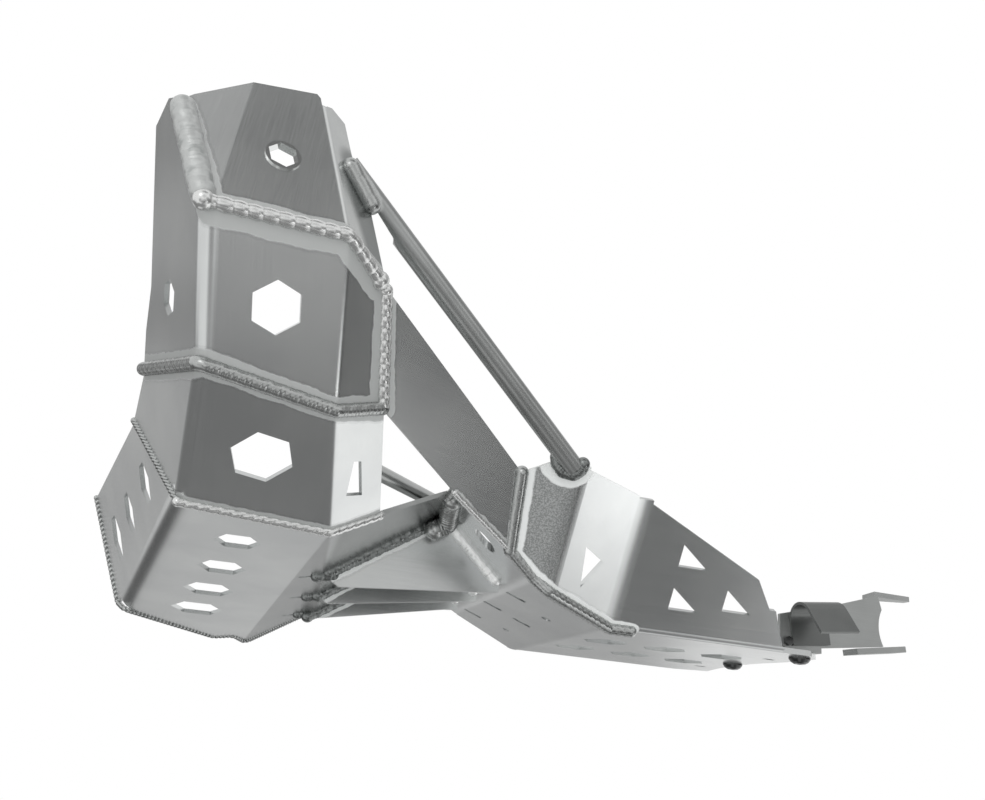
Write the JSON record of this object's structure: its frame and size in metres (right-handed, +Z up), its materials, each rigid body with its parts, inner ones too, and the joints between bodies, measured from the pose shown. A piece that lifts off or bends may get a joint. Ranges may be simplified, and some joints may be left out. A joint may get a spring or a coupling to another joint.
{
  "type": "motorcycle skid plate",
  "caption": "Welded sheet-aluminium motorcycle skid plate with hexagonal openings, an exhaust guard rising at its near front, three ribs, two braces and a rear frame clip.",
  "frame": {"origin": "centre of the flat bottom, on its lower surface", "axes": "+X to the rear of the motorcycle, +Y to the side away from the exhaust guard, +Z up into the motorcycle"},
  "size_m": [0.6353, 0.4552, 0.2729],
  "materials": {
    "sheet_aluminium": "brushed, bare",
    "weld_metal": "rippled weld bead, bare",
    "bracket_steel": "satin plated",
    "clip_steel": "dark grey, satin",
    "zinc_steel": "zinc plated",
    "black_steel": "black oxide, satin"
  },
  "bodies": {
    "root": {"belly_pan": "sheet_aluminium", "bolt_centre": "black_steel", "bolt_near": "black_steel", "bracket_bar": "bracket_steel", "bracket_tongue": "bracket_steel", "clip_nut": "black_steel", "frame_clip": "clip_steel", "guard_lower": "sheet_aluminium", "guard_middle": "sheet_aluminium", "guard_ring": "sheet_aluminium", "guard_top": "sheet_aluminium", "nut_centre": "black_steel", "nut_near": "black_steel", "rear_brace": "sheet_aluminium", "rear_bracket": "bracket_steel", "rib_far": "sheet_aluminium", "rib_middle": "sheet_aluminium", "rib_near": "sheet_aluminium", "side_panel": "sheet_aluminium", "skid_plate": "sheet_aluminium", "top_brace": "sheet_aluminium", "washer_centre": "zinc_steel", "washer_near": "zinc_steel", "weld_belly_rim": "weld_metal", "weld_brace_foot": "weld_metal", "weld_brace_top": "weld_metal", "weld_bridge_corner": "weld_metal", "weld_bridge_end": "weld_metal", "weld_bridge_far": "weld_metal", "weld_bridge_middle": "weld_metal", "weld_bridge_near": "weld_metal", "weld_left_belly": "weld_metal", "weld_lower_belly": "weld_metal", "weld_middle_lower": "weld_metal", "weld_panel_foot": "weld_metal", "weld_panel_guard": "weld_metal", "weld_panel_wing": "weld_metal", "weld_slot_far": "weld_metal", "weld_slot_middle": "weld_metal", "weld_slot_near": "weld_metal", "weld_steep_far": "weld_metal", "weld_steep_middle": "weld_metal", "weld_steep_near": "weld_metal", "weld_top_left": "weld_metal", "weld_top_middle": "weld_metal", "weld_wing_front": "weld_metal"}
  },
  "joints": []
}
